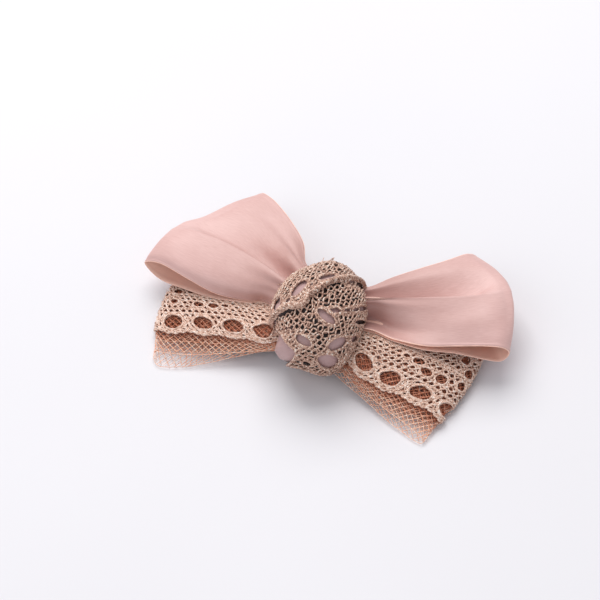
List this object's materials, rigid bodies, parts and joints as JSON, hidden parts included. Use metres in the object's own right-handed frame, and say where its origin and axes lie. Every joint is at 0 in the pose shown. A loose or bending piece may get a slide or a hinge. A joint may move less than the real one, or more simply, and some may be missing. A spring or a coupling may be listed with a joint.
{
  "type": "hair bow",
  "caption": "Double hair bow: angled satin ribbon loops over lace and net loops, a round lace-covered knot, and a sprung alligator clip underneath.",
  "frame": {"origin": "centre of the bow's outline, on the surface it lies on", "axes": "+X along the bow from loop to loop, +Y towards the satin loops at the back, +Z towards the bow's face, away from the clip"},
  "size_m": [0.1118, 0.062, 0.0282],
  "materials": {
    "satin": "dusty-pink satin ribbon, soft sheen",
    "lace": "champagne metallic lace",
    "net": "copper netting",
    "knot_satin": "mauve-pink satin",
    "knot_lace": "champagne metallic lace",
    "thread": "polyester thread",
    "glue": "set hot-melt glue",
    "lining": "grosgrain ribbon",
    "clip_steel": "nickel-plated pressed steel",
    "pin_steel": "plated rivet",
    "spring_steel": "spring wire"
  },
  "bodies": {
    "bow": {"satin_loop_left": "satin", "satin_loop_right": "satin", "lace_loop_left": "lace", "lace_loop_right": "lace", "net_loop_left": "net", "net_loop_right": "net", "knot_satin": "knot_satin", "knot_lace_over": "knot_lace", "knot_lace_under": "knot_lace", "binding_thread": "thread", "glue_pad": "glue", "clip_lining": "lining", "clip_top_arm": "clip_steel", "clip_pin": "pin_steel", "clip_spring": "spring_steel"},
    "lower_arm": {"clip_lower_arm": "clip_steel"}
  },
  "joints": [
    {"name": "clip_open", "type": "hinge", "parent": "bow", "child": "lower_arm", "pos_m": [0.011, -0.0054, 0.0039], "axis": [0, -1, 0], "range_deg": [0, 24], "stiffness_Nm_per_rad": 0.06, "springref_deg": -20.05, "deforming": ["clip_spring"]}
  ]
}
